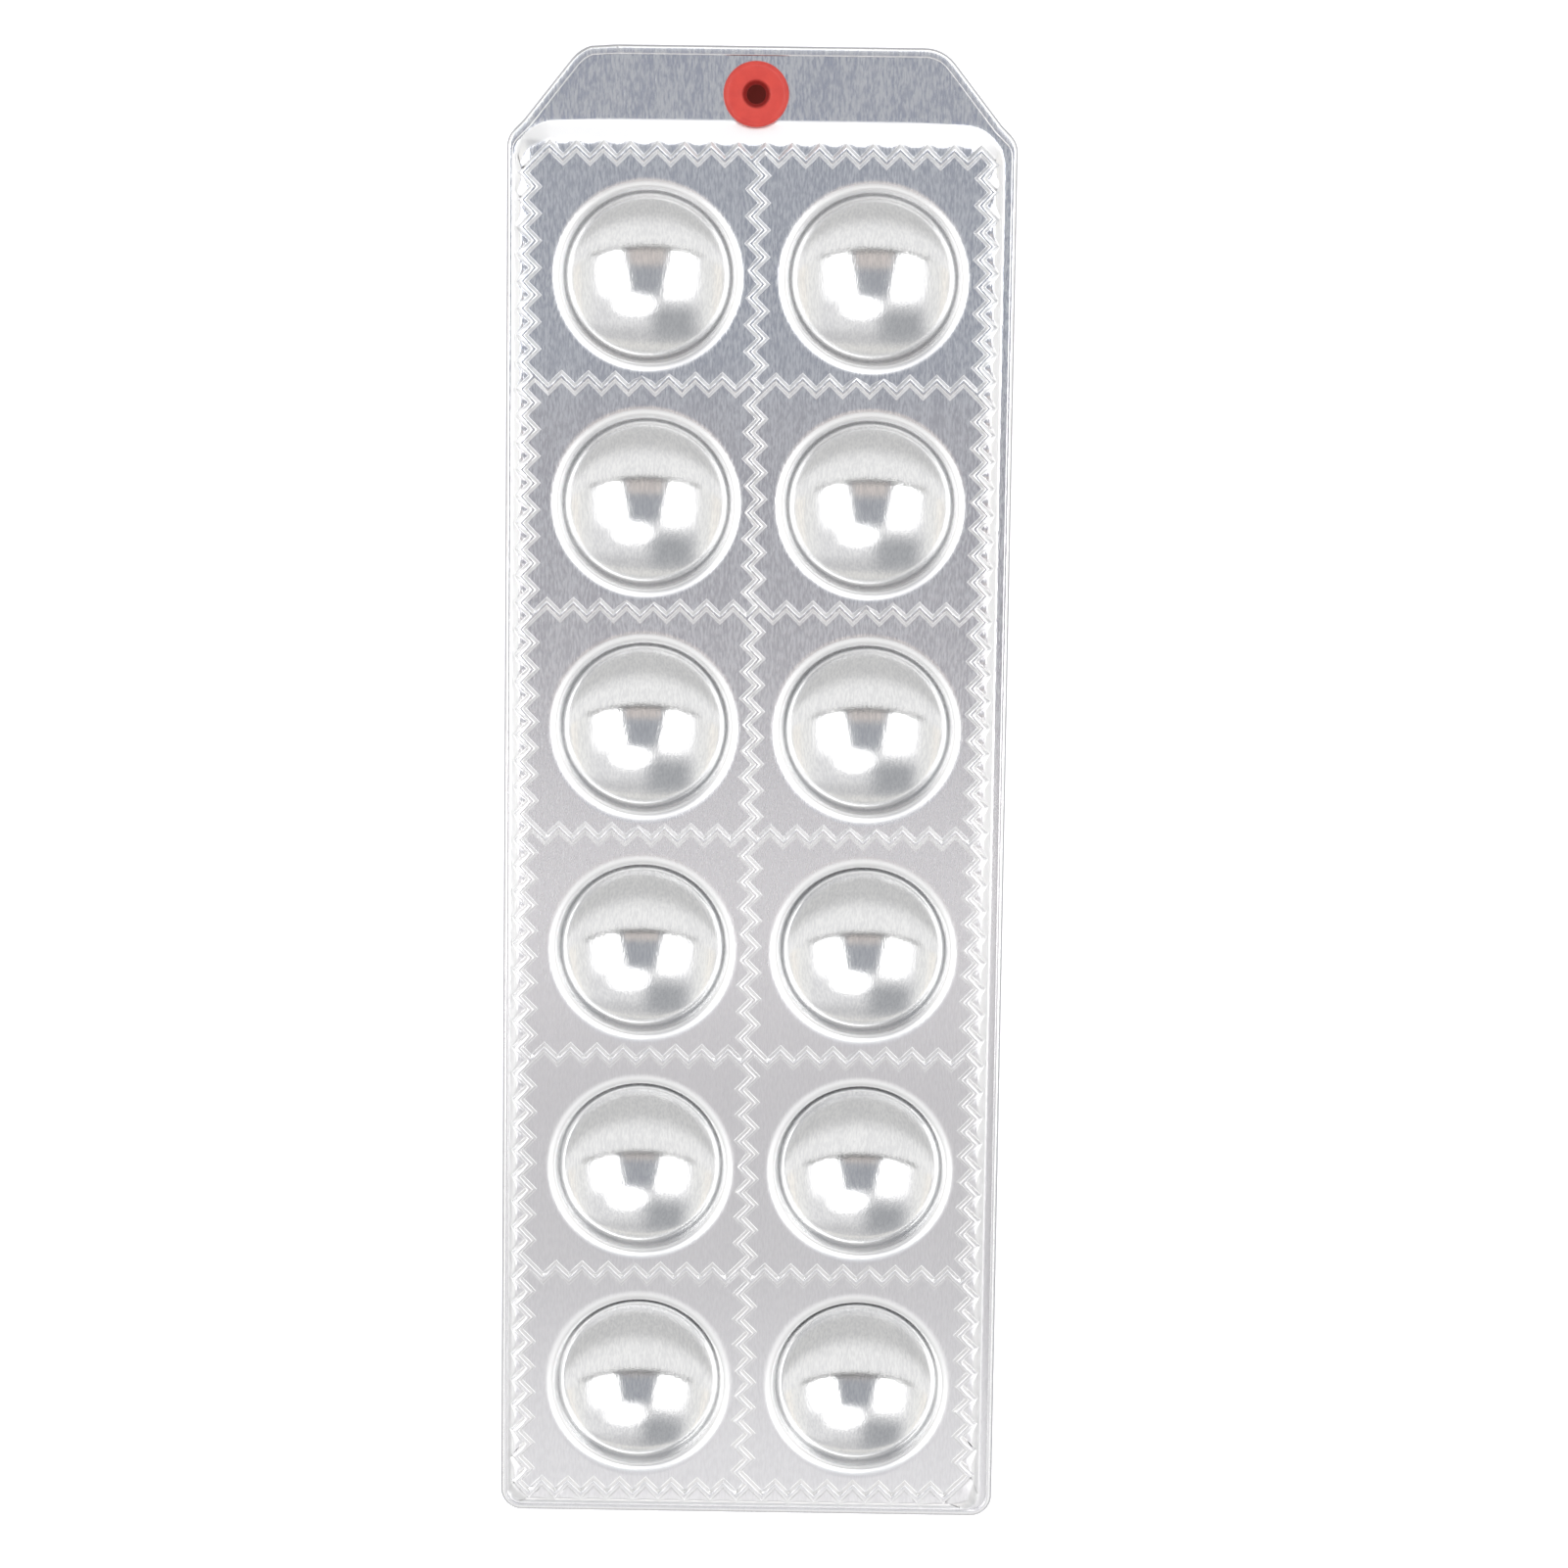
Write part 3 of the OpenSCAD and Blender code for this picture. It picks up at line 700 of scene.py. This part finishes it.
def hanging_grommet():
    """The snapped-in grommet: a rim with a bevelled edge and a faint ring, a funnel down to the hanging
    hole, the neck in the sheet's hole, and the flange behind."""
    low, high = (np.array(corner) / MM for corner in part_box("hanging_grommet"))
    rim_r = (high[0] - low[0]) / 2
    top, bottom = high[2], low[2]
    back = BORDER_Z - SHEET_T - FLANGE_GAP
    rim_foot = BORDER_Z + RIM_RISE
    chamfer_w, chamfer_h = RIM_CHAMFER
    flange = [
        (HANGING_HOLE_R, bottom, 0.15), (FLANGE_R - FLANGE_H, bottom, 0.2),
        (FLANGE_R, bottom + FLANGE_H, 0.15), (FLANGE_R, back, 0.1),
    ]
    neck = [(NECK_R, back, 0.02), (NECK_R, BORDER_Z, 0.02), (SEAT_R, BORDER_Z, 0.02)]
    rim = [(rim_r - chamfer_w, rim_foot, 0.08), (rim_r, rim_foot + chamfer_h, 0.08)]
    rim += [(rim_r - aside, top - down, rounding) for aside, down, rounding in RIM_TOP]
    funnel = [
        (FUNNEL_MOUTH_R, top, 0.2), (FUNNEL_R, top - FUNNEL_DROP, 0.3),
        (HANGING_HOLE_R, top - FUNNEL_DROP - FUNNEL_FOOT, 0.2),
    ]
    profile = rounded_profile(flange + neck + rim + funnel)
    centre = (low[:2] + high[:2]) / 2
    return revolved("hanging_grommet_skin", profile, GROMMET_COLUMNS, centre)


# Sizes of the noise in the aluminium, in grains to the metre, and the height of its grooves
STREAK_GRAINS = (2300, 520, 2300)
BAND_GRAINS = (420, 40, 420)
CLOUD_GRAINS = 30.0
BOWL_GRAINS = 3600.0
GROOVE_HEIGHT = 0.00004

# The flats in dark and in pale streaks: first the rows below the tab, then the colours that take over,
# each with the places along Y between which it comes in. The change from row to row is painted
# reflection, dark and bluish at the tab and the first row and paler further on.
NEAR_STREAKS = ((0.67, 0.66, 0.69), (1.0, 0.99, 1.0))
FLAT_PAINTED_REFLECTIONS = (
    # First row of bowls
    (0.075, 0.095, (0.60, 0.62, 0.68), (0.97, 0.98, 1.0)),
    # Tab
    (0.139, 0.141, (0.58, 0.60, 0.68), (1.0, 1.0, 1.0)),
    # Middle rows
    (0.035, -0.005, (0.885, 0.868, 0.885), (1.0, 0.99, 1.0)),
    # Far rows
    (-0.02, -0.07, (0.73, 0.72, 0.735), (0.82, 0.81, 0.825)),
    # Last row
    (-0.10, -0.145, (0.86, 0.85, 0.865), (0.94, 0.93, 0.945)),
)
BOWL_STREAKS = ((0.80, 0.80, 0.805), (0.90, 0.90, 0.895))
BEND_COLOUR = (0.97, 0.97, 0.97)
# Painted dark reflection on the hem's fold
FOLD_PAINTED_REFLECTION = (0.36, 0.36, 0.38)
# Places along Y between which the far end comes in
FAR_END = (0.09, -0.08)
# Tints between which dark streaks turn pale
STREAK_EDGE = (0.36, 0.64)
# Roughness: flats in dark and pale streaks, bends, bowls in two kinds of cloud
FLAT_MATT = (0.22, 0.15)
BEND_MATT = 0.32
BOWL_MATT = (0.13, 0.10)
# What the far end adds to the flats, and the slope at the tab and the far ridges to the bends
FAR_MATT = 0.14
HEAD_MATT = 0.20
CRISP_MATT = -0.12

# Red plastic: the colours and the roughness of its clouds, its shine and the height of its peel
RED_CLOUDS = ((0.60, 0.046, 0.035), (0.68, 0.064, 0.046))
RED_MATT = (0.42, 0.33)
RED_SHINE = 0.5
PEEL_HEIGHT = 0.00004
# Its funnel: the radii between which painted shade darkens it, the colour of that painted shade, and what
# it adds to roughness and shine
FUNNEL_SHADE = (0.00305, 0.0025)
FUNNEL_PAINTED_SHADE = (0.32, 0.022, 0.018)
FUNNEL_MATT = 0.35
FUNNEL_SHINE = -0.4

# Floor: half its width, its colour, its glow, and the radii and the colour of the painted shadow under the
# hole
FLOOR_REACH = 3.0
FLOOR_COLOUR = (0.9, 0.9, 0.9)
FLOOR_GLOW = 0.72
PAINTED_SHADOW_EDGE = (0.0045, 0.0060)
PAINTED_SHADOW_COLOUR = (0.15, 0.025, 0.02)

# Surroundings: the colour overhead, then those that take over to the sides and along the mould, each
# with the angles in degrees between which it comes in
MIDDLE_COLOUR = (0.84, 0.84, 0.85)
SIDE_CHANGES = (
    (44, 56, (0.91, 0.91, 0.90)),
    (60, 66, (1.0, 0.97, 0.92)),
    (70, 80, (0.68, 0.68, 0.68)),
)
END_CHANGES = (
    (40, 54, (0.64, 0.64, 0.65)),
    (58, 64, (0.80, 0.79, 0.77)),
    (68, 78, (0.62, 0.62, 0.62)),
    (-50, -64, (0.60, 0.60, 0.60)),
)
CORNER_COLOUR = (0.42, 0.43, 0.45)
OVERHEAD_COLOUR = (0.405, 0.42, 0.455)
BROWN_COLOUR = (0.66, 0.61, 0.59)
BOX_LIGHT = (3.2, 3.2, 3.2)
OVAL_LIGHT = (3.0, 3.0, 3.0)
WHITE = (1.0, 1.0, 1.0)
# Half the width of the dark trapezoid overhead where along is 0, and how it changes with along
TRAPEZOID_HALF_W = 15.5
TRAPEZOID_TAPER = -0.2
# The oval light: its middle and its half axes, across and along
OVAL_MIDDLE = (11, 26)
OVAL_REACH = (17, 9)

# Grey card: its height, its half width and its two ends along Y
CARD_UP = 1.0
CARD_HALF_W = 8.0
CARD_NEAR = -0.326
CARD_FAR = -8.0
# The dark band along its front edge, along Y and to the sides, and its tones from near to far
CARD_BAND = (-0.415, -0.38)
CARD_BAND_SIDES = (1.5, 1.1)
CARD_BAND_DARK = 0.85
CARD_TONES = (-0.75, -1.55, 0.95, 0.64)

# Camera: its place, its turn in degrees and its lens
CAMERA_PLACE = (0.0124, 0.1216, 0.9139)
CAMERA_TURN = (-7.501, 0.490, 0.743)
LENS = 98.76
SENSOR_W = 36
SIGHT = 20


class Paint:
    """A material's or a world's nodes, added and wired by short calls."""

    def __init__(self, owner):
        owner.use_nodes = True
        self.tree = owner.node_tree
        self.tree.nodes.clear()

    def node(self, kind, inputs=(), **settings):
        """One node with its settings. Each input is wired to a socket or set to a value."""
        made = self.tree.nodes.new(kind)
        for key, value in settings.items():
            setattr(made, key, value)
        for socket, value in dict(inputs).items():
            if isinstance(value, bpy.types.NodeSocket):
                self.tree.links.new(value, made.inputs[socket])
            else:
                made.inputs[socket].default_value = value
        return made

    def math(self, operation, a, b=0.0, c=0.0):
        """One operation on up to three values."""
        return self.node("ShaderNodeMath", {0: a, 1: b, 2: c}, operation=operation).outputs[0]

    def times(self, first, *others):
        """The product of all the values."""
        for other in others:
            first = self.math("MULTIPLY", first, other)
        return first

    def blend(self, share, a, b):
        """One value turned into another by a share: the share times their difference, plus the first."""
        return self.math("MULTIPLY_ADD", share, self.math("SUBTRACT", b, a), a)

    def ramp(self, value, low, high, out_low=0.0, out_high=1.0):
        """A value mapped smoothly from one range to another, and held at its ends."""
        inputs = {0: value, 1: low, 2: high, 3: out_low, 4: out_high}
        return self.node("ShaderNodeMapRange", inputs, interpolation_type="SMOOTHSTEP").outputs[0]

    def mix(self, share, a, b):
        """One colour turned into another by a share."""
        a, b = ((*colour, 1) if isinstance(colour, tuple) else colour for colour in (a, b))
        return self.node("ShaderNodeMix", {0: share, 6: a, 7: b}, data_type="RGBA").outputs[2]

    def noise(self, vector, scale, detail=2.0, rough=0.5):
        """Noise between 0 and 1. scale is its number of grains to one unit of the coordinates."""
        inputs = {"Vector": vector, "Scale": scale, "Detail": detail, "Roughness": rough}
        return self.node("ShaderNodeTexNoise", inputs).outputs[0]

    def stretched(self, vector, scale):
        """Coordinates times a scale of their own along each axis."""
        return self.node("ShaderNodeMapping", {"Vector": vector, "Scale": scale}).outputs[0]

    def hole_distance(self, place):
        """Distance in the plane from the middle of the hanging hole."""
        plane = self.node("ShaderNodeVectorMath", {0: place, 1: (1, 1, 0)}, operation="MULTIPLY").outputs[0]
        hole = (*(GROMMET * MM), 0)
        return self.node("ShaderNodeVectorMath", {0: plane, 1: hole}, operation="DISTANCE").outputs["Value"]


def satin_aluminium():
    """Satin sheet brushed along its length. Streaks are noise drawn out along Y; they tint the metal,
    change its gloss and raise fine grooves. Painted reflection changes the flats' tone row by row, dark and
    bluish at the tab and the first row and paler further on, and the flats grow more matt towards the far
    end.
    Lips, slope and ridges are evenly matt, the bowls glossy and finely grained, and the hem's fold is
    darkened by painted reflection."""
    material = bpy.data.materials.new("satin_aluminium")
    paint = Paint(material)
    place = paint.node("ShaderNodeTexCoord").outputs["Object"]
    finish_and_painted_dark = paint.node("ShaderNodeAttribute", attribute_name="finish_and_painted_dark").outputs["Fac"]
    y = paint.node("ShaderNodeSeparateXYZ", {0: place}).outputs[1]
    streaks = paint.noise(paint.stretched(place, STREAK_GRAINS), 1.0, 2.0, 0.55)
    bands = paint.noise(paint.stretched(place, BAND_GRAINS), 1.0)
    clouds = paint.noise(place, CLOUD_GRAINS)
    grain = paint.noise(place, BOWL_GRAINS, 1.0)
    tint = paint.math("ADD", paint.times(streaks, 0.75), paint.times(bands, 0.25))
    fine = paint.ramp(tint, *STREAK_EDGE)
    far = paint.ramp(y, *FAR_END)
    bent = paint.ramp(finish_and_painted_dark, 0.0, BEND_WORKED)
    dished = paint.ramp(finish_and_painted_dark, BEND_WORKED, DISH_WORKED)
    fold_painted_dark = paint.ramp(finish_and_painted_dark, DISH_WORKED, FOLD_PAINTED_FULL)

    colour = paint.mix(fine, *NEAR_STREAKS)
    # Row by row the flats take other tones: painted reflection, dark and bluish near the tab, paler further
    # on
    for start, full, dark, pale in FLAT_PAINTED_REFLECTIONS:
        colour = paint.mix(paint.ramp(y, start, full), colour, paint.mix(fine, dark, pale))
    colour = paint.mix(bent, colour, BEND_COLOUR)
    colour = paint.mix(dished, colour, paint.mix(fine, *BOWL_STREAKS))
    # The hem's fold and inner edge take a painted dark reflection
    colour = paint.mix(fold_painted_dark, colour, FOLD_PAINTED_REFLECTION)

    # The slope towards the tab is more matt than the other bends, and the far ridges are less
    head = paint.ramp(y, HEAD_LOW, HEAD_LOW + HEAD_LOW_EDGE)
    head = paint.times(head, paint.ramp(y, HEAD_TOP, HEAD_TOP - HEAD_TOP_EDGE))
    crisp = paint.times(far, paint.ramp(finish_and_painted_dark, BEND_WORKED, 0.56))
    flat_matt = paint.math("MULTIPLY_ADD", far, FAR_MATT, paint.ramp(tint, 0.3, 0.7, *FLAT_MATT))
    bend_matt = paint.math("MULTIPLY_ADD", head, HEAD_MATT, BEND_MATT)
    bend_matt = paint.math("MULTIPLY_ADD", crisp, CRISP_MATT, bend_matt)
    bowl_matt = paint.ramp(clouds, 0.3, 0.7, *BOWL_MATT)
    matt = paint.blend(dished, paint.blend(bent, flat_matt, bend_matt), bowl_matt)

    height = paint.math("MULTIPLY_ADD", dished, paint.times(grain, 0.7), streaks)
    depth = paint.math("MULTIPLY_ADD", bent, -0.5, 0.85)
    bump = paint.node("ShaderNodeBump", {"Strength": depth, "Distance": GROOVE_HEIGHT, "Height": height})
    shader = paint.node("ShaderNodeBsdfPrincipled", {
        "Base Color": colour, "Metallic": 1.0, "Roughness": matt, "Normal": bump.outputs[0],
    })
    paint.node("ShaderNodeOutputMaterial", {"Surface": shader.outputs[0]})
    return material


def red_plastic():
    """Semi-gloss moulded plastic: a slightly uneven red with a fine orange-peel surface, and more matt
    down the funnel, where painted shade darkens it."""
    material = bpy.data.materials.new("red_plastic")
    paint = Paint(material)
    place = paint.node("ShaderNodeTexCoord").outputs["Object"]
    clouds = paint.noise(place, 260.0, 3.0, 0.6)
    grain = paint.noise(place, 2600.0)
    funnel = paint.ramp(paint.hole_distance(place), *FUNNEL_SHADE)
    # Down the funnel the colour turns to painted shade
    colour = paint.mix(funnel, paint.mix(paint.ramp(clouds, 0.3, 0.7), *RED_CLOUDS), FUNNEL_PAINTED_SHADE)
    matt = paint.math("MULTIPLY_ADD", funnel, FUNNEL_MATT, paint.ramp(clouds, 0.3, 0.7, *RED_MATT))
    shine = paint.math("MULTIPLY_ADD", funnel, FUNNEL_SHINE, RED_SHINE)
    bump = paint.node("ShaderNodeBump", {"Strength": 0.15, "Distance": PEEL_HEIGHT, "Height": grain})
    shader = paint.node("ShaderNodeBsdfPrincipled", {
        "Base Color": colour, "Roughness": matt, "Normal": bump.outputs[0], "Specular IOR Level": shine,
    })
    paint.node("ShaderNodeOutputMaterial", {"Surface": shader.outputs[0]})
    return material


def level_sheet(name, material, half_w, y_low, y_high, z, face):
    """A level rectangle for the stage. face names its corners in turn, which are numbered anticlockwise
    from the low left."""
    data = bpy.data.meshes.new(name)
    corners = [(-half_w, y_low, z), (half_w, y_low, z), (half_w, y_high, z), (-half_w, y_high, z)]
    data.from_pydata(corners, [], [face])
    data.materials.append(material)
    sheet = bpy.data.objects.new(name, data)
    bpy.context.scene.collection.objects.link(sheet)
    return sheet


def white_floor():
    """A pale floor: it takes the object's shadow, and shows white to the camera and to reflections.
    Right under the hanging hole it has a painted dark red shadow and no glow."""
    material = bpy.data.materials.new("white_floor")
    paint = Paint(material)
    path = paint.node("ShaderNodeLightPath").outputs
    place = paint.node("ShaderNodeTexCoord").outputs["Object"]
    clear = paint.ramp(paint.hole_distance(place), *PAINTED_SHADOW_EDGE)
    seen = paint.math("ADD", path["Is Camera Ray"], path["Is Glossy Ray"])
    through = path["Is Transmission Ray"]
    seen = paint.node("ShaderNodeMath", {0: seen, 1: through}, use_clamp=True).outputs[0]
    # Painted dark red shadow on the floor under the hanging hole
    matt = paint.node("ShaderNodeBsdfDiffuse", {"Color": paint.mix(clear, PAINTED_SHADOW_COLOUR, FLOOR_COLOUR)})
    glow = paint.node("ShaderNodeEmission", {"Strength": paint.times(clear, FLOOR_GLOW)})
    both = paint.node("ShaderNodeAddShader", {0: matt.outputs[0], 1: glow.outputs[0]})
    mixed = paint.node("ShaderNodeMixShader", {0: seen, 1: matt.outputs[0], 2: both.outputs[0]})
    paint.node("ShaderNodeOutputMaterial", {"Surface": mixed.outputs[0]})
    face_up = (0, 1, 2, 3)
    floor = level_sheet("floor", material, FLOOR_REACH, -FLOOR_REACH, FLOOR_REACH, 0, face_up)


def studio_light():
    """Soft studio surroundings, drawn by direction. across and along place a direction on a mirror ball
    seen from above: twice the arc sine of d / sqrt(2 + 2 z), in degrees, which is its tilt from the zenith
    towards +X and +Y. Straight lines there show as straight lines in a bowl."""
    world = bpy.context.scene.world or bpy.data.worlds.new("studio")
    bpy.context.scene.world = world
    paint = Paint(world)
    way = paint.node("ShaderNodeTexCoord").outputs["Generated"]
    parts = paint.node("ShaderNodeSeparateXYZ", {0: way}).outputs
    reach = paint.math("SQRT", paint.math("MAXIMUM", paint.math("MULTIPLY_ADD", parts[2], 2.0, 2.0), 0.01))

    def ball_tilt(part):
        """Twice the arc sine of one part of the direction over reach, in degrees."""
        return paint.times(paint.math("ARCSINE", paint.math("DIVIDE", part, reach)), math.degrees(2))

    across, along = ball_tilt(parts[0]), ball_tilt(parts[1])
    aside = paint.math("ABSOLUTE", across)
    # What lies across the mould has slightly wavy edges
    shake = paint.math("MULTIPLY_ADD", paint.noise(way, 30.0, 3.0, 0.7), 2.4, -1.2)
    along = paint.math("ADD", along, shake)
    colour = MIDDLE_COLOUR
    for angle, changes in ((aside, SIDE_CHANGES), (along, END_CHANGES)):
        for start, full, later in changes:
            colour = paint.mix(paint.ramp(angle, start, full), colour, later)

    # Dark: the corner towards -X and +Y, and a trapezoid overhead that turns brown towards -Y
    corner = paint.times(
        paint.ramp(across, 6, -16), paint.ramp(along, 18, 36),
        paint.ramp(along, 72, 46), paint.ramp(across, -58, -34),
    )
    colour = paint.mix(corner, colour, CORNER_COLOUR)
    inner = paint.math("MULTIPLY_ADD", along, TRAPEZOID_TAPER, TRAPEZOID_HALF_W)
    within = paint.math("SUBTRACT", inner, aside)
    overhead = paint.times(paint.ramp(within, -2.5, 2.5), paint.ramp(along, 22, 11))
    colour = paint.mix(overhead, colour, OVERHEAD_COLOUR)
    brown = paint.times(paint.ramp(within, 0, 5), paint.ramp(along, -6, -13))
    colour = paint.mix(brown, colour, BROWN_COLOUR)

    # Bright: a soft box on each side and an oval one towards +Y
    boxes = paint.times(paint.ramp(within, -1.0, -6), paint.ramp(along, 26, 3), paint.ramp(aside, 52, 27))
    colour = paint.mix(boxes, colour, BOX_LIGHT)
    squares = [
        paint.math("POWER", paint.math("MULTIPLY_ADD", angle, 1 / half, -middle / half), 2.0)
        for angle, middle, half in zip((across, along), OVAL_MIDDLE, OVAL_REACH)
    ]
    oval = paint.math("SQRT", paint.math("ADD", *squares))
    colour = paint.mix(paint.ramp(oval, 1.4, 0.4), colour, OVAL_LIGHT)
    path = paint.node("ShaderNodeLightPath").outputs
    colour = paint.mix(path["Is Camera Ray"], colour, WHITE)
    back = paint.node("ShaderNodeBackground", {"Color": colour, "Strength": 1.0})
    paint.node("ShaderNodeOutputWorld", {"Surface": back.outputs[0]})


def card():
    """A grey card that hangs 1 m up towards -Y, out of the camera's sight. Its dark front edge is the
    line that crosses the bowls, lower in the far ones. It is paler near the edge."""
    material = bpy.data.materials.new("card")
    paint = Paint(material)
    place = paint.node("ShaderNodeTexCoord").outputs["Object"]
    parts = paint.node("ShaderNodeSeparateXYZ", {0: place}).outputs
    shake = paint.math("MULTIPLY_ADD", paint.noise(place, 14.0, 3.0, 0.7), 0.030, -0.015)
    y = paint.math("ADD", parts[1], shake)
    sides = paint.ramp(paint.math("ABSOLUTE", parts[0]), *CARD_BAND_SIDES)
    band = paint.times(paint.ramp(y, *CARD_BAND), sides)
    tone = paint.times(paint.ramp(y, *CARD_TONES), paint.math("MULTIPLY_ADD", band, -CARD_BAND_DARK, 1.0))
    glow = paint.node("ShaderNodeEmission", {"Strength": tone})
    paint.node("ShaderNodeOutputMaterial", {"Surface": glow.outputs[0]})
    face_down = (3, 2, 1, 0)
    hung = level_sheet("card", material, CARD_HALF_W, CARD_FAR, CARD_NEAR, CARD_UP, face_down)
    hung.visible_camera = False


def camera():
    """A long lens almost straight above the tab, looking down along the mould."""
    data = bpy.data.cameras.new("camera")
    data.sensor_width = SENSOR_W
    data.lens = LENS
    data.clip_end = SIGHT
    eye = bpy.data.objects.new("camera", data)
    eye.location = CAMERA_PLACE
    eye.rotation_euler = np.radians(CAMERA_TURN)
    bpy.context.scene.collection.objects.link(eye)
    bpy.context.scene.camera = eye


def dress(piece, node, material):
    """Puts a finished piece in its CAD node's place, on the one body."""
    piece.data.materials.append(material)
    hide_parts(node)
    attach(piece, "root")


bpy.context.scene.view_settings.view_transform = "Standard"
dress(mould_plate(), "mould_plate", satin_aluminium())
dress(hanging_grommet(), "hanging_grommet", red_plastic())
white_floor()
studio_light()
card()
camera()
